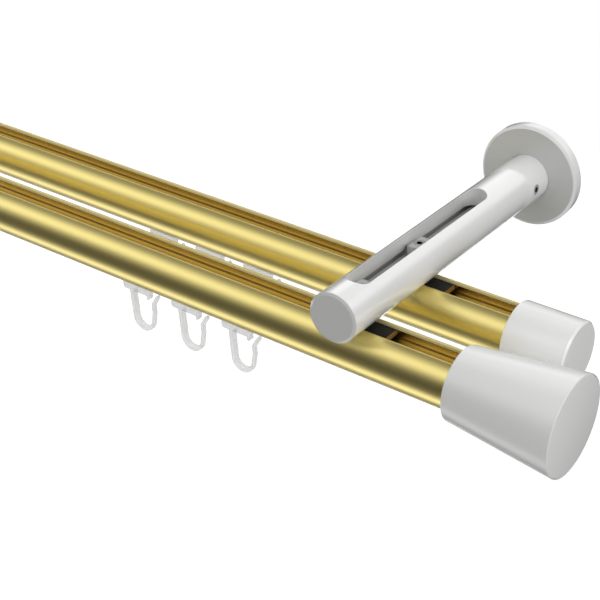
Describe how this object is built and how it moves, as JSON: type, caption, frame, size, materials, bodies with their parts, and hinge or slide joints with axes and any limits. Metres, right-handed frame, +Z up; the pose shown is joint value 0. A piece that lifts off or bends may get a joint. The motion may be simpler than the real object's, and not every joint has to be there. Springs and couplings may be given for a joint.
{
  "type": "double curtain pole",
  "caption": "Two round rails side by side on wall bracket arms, with a conical finial or straight cap at each end and sliding hook gliders in the channels underneath.",
  "frame": {"origin": "centre of the rectangle of the four wall screws, on the wall, half-way between the two brackets and level with the arms' axes", "axes": "+X along the rails, +Y out of the back into the wall, +Z up"},
  "size_m": [1.0552, 0.1342, 0.0671],
  "materials": {
    "brass_anodised": "brass-coloured, satin to glossy, drawn along the rail",
    "white_lacquer": "glossy white lacquer",
    "grey_white_lacquer": "glossy white lacquer, seen a little greyer",
    "white_gloss": "glossy white",
    "cast_zinc": "light grey, satin",
    "dark_steel": "dark grey, blackened",
    "plated_steel": "zinc plated",
    "bright_steel": "bright",
    "natural_nylon": "milky white",
    "clear_nylon": "translucent milky white"
  },
  "bodies": {
    "pole": {"front_rail": "brass_anodised", "rear_rail": "brass_anodised", "wall_plate_right": "plated_steel", "wall_plate_left": "plated_steel", "rosette_right": "white_lacquer", "rosette_left": "white_lacquer", "arm_right": "white_lacquer", "arm_left": "white_lacquer", "arm_cap_right": "grey_white_lacquer", "arm_cap_left": "grey_white_lacquer", "arm_grub_screw_right": "bright_steel", "arm_grub_screw_left": "bright_steel", "finial_right": "white_gloss", "finial_left": "white_gloss", "finial_disc_right": "white_gloss", "finial_disc_left": "white_gloss", "rear_cap_right": "white_gloss", "rear_cap_left": "white_gloss", "front_slot_plate_right": "dark_steel", "front_slot_plate_left": "dark_steel", "front_clamp_block_right": "cast_zinc", "front_clamp_block_left": "cast_zinc", "front_clamp_screw_right": "bright_steel", "front_clamp_screw_left": "bright_steel", "front_end_stop_right": "natural_nylon", "front_end_stop_left": "natural_nylon", "rear_slot_plate_right": "dark_steel", "rear_slot_plate_left": "dark_steel", "rear_clamp_block_right": "cast_zinc", "rear_clamp_block_left": "cast_zinc", "rear_clamp_screw_right": "bright_steel", "rear_clamp_screw_left": "bright_steel", "rear_end_stop_right": "natural_nylon", "rear_end_stop_left": "natural_nylon"},
    "front_glider_1_right": {"front_glider_1_right": "clear_nylon"},
    "front_glider_1_left": {"front_glider_1_left": "clear_nylon"},
    "front_glider_2_right": {"front_glider_2_right": "clear_nylon"},
    "front_glider_2_left": {"front_glider_2_left": "clear_nylon"},
    "front_glider_3_right": {"front_glider_3_right": "clear_nylon"},
    "front_glider_3_left": {"front_glider_3_left": "clear_nylon"},
    "rear_glider_1_right": {"rear_glider_1_right": "clear_nylon"},
    "rear_glider_1_left": {"rear_glider_1_left": "clear_nylon"},
    "rear_glider_2_right": {"rear_glider_2_right": "clear_nylon"},
    "rear_glider_2_left": {"rear_glider_2_left": "clear_nylon"},
    "rear_glider_3_right": {"rear_glider_3_right": "clear_nylon"},
    "rear_glider_3_left": {"rear_glider_3_left": "clear_nylon"}
  },
  "joints": [
    {"name": "front_glider_1_right_slide", "type": "slide", "parent": "pole", "child": "front_glider_1_right", "axis": [1, 0, 0], "range_m": [-0.0033, 0.082]},
    {"name": "front_glider_1_left_slide", "type": "slide", "parent": "pole", "child": "front_glider_1_left", "axis": [1, 0, 0], "range_m": [-0.082, 0.0033]},
    {"name": "front_glider_2_right_slide", "type": "slide", "parent": "pole", "child": "front_glider_2_right", "axis": [1, 0, 0], "range_m": [-0.0033, 0.0033]},
    {"name": "front_glider_2_left_slide", "type": "slide", "parent": "pole", "child": "front_glider_2_left", "axis": [1, 0, 0], "range_m": [-0.0033, 0.0033]},
    {"name": "front_glider_3_right_slide", "type": "slide", "parent": "pole", "child": "front_glider_3_right", "axis": [1, 0, 0], "range_m": [-0.338, 0.0033]},
    {"name": "front_glider_3_left_slide", "type": "slide", "parent": "pole", "child": "front_glider_3_left", "axis": [1, 0, 0], "range_m": [-0.0033, 0.338]},
    {"name": "rear_glider_1_right_slide", "type": "slide", "parent": "pole", "child": "rear_glider_1_right", "axis": [1, 0, 0], "range_m": [-0.0033, 0.103]},
    {"name": "rear_glider_1_left_slide", "type": "slide", "parent": "pole", "child": "rear_glider_1_left", "axis": [1, 0, 0], "range_m": [-0.103, 0.0033]},
    {"name": "rear_glider_2_right_slide", "type": "slide", "parent": "pole", "child": "rear_glider_2_right", "axis": [1, 0, 0], "range_m": [-0.0033, 0.0033]},
    {"name": "rear_glider_2_left_slide", "type": "slide", "parent": "pole", "child": "rear_glider_2_left", "axis": [1, 0, 0], "range_m": [-0.0033, 0.0033]},
    {"name": "rear_glider_3_right_slide", "type": "slide", "parent": "pole", "child": "rear_glider_3_right", "axis": [1, 0, 0], "range_m": [-0.319, 0.0033]},
    {"name": "rear_glider_3_left_slide", "type": "slide", "parent": "pole", "child": "rear_glider_3_left", "axis": [1, 0, 0], "range_m": [-0.0033, 0.319]}
  ]
}
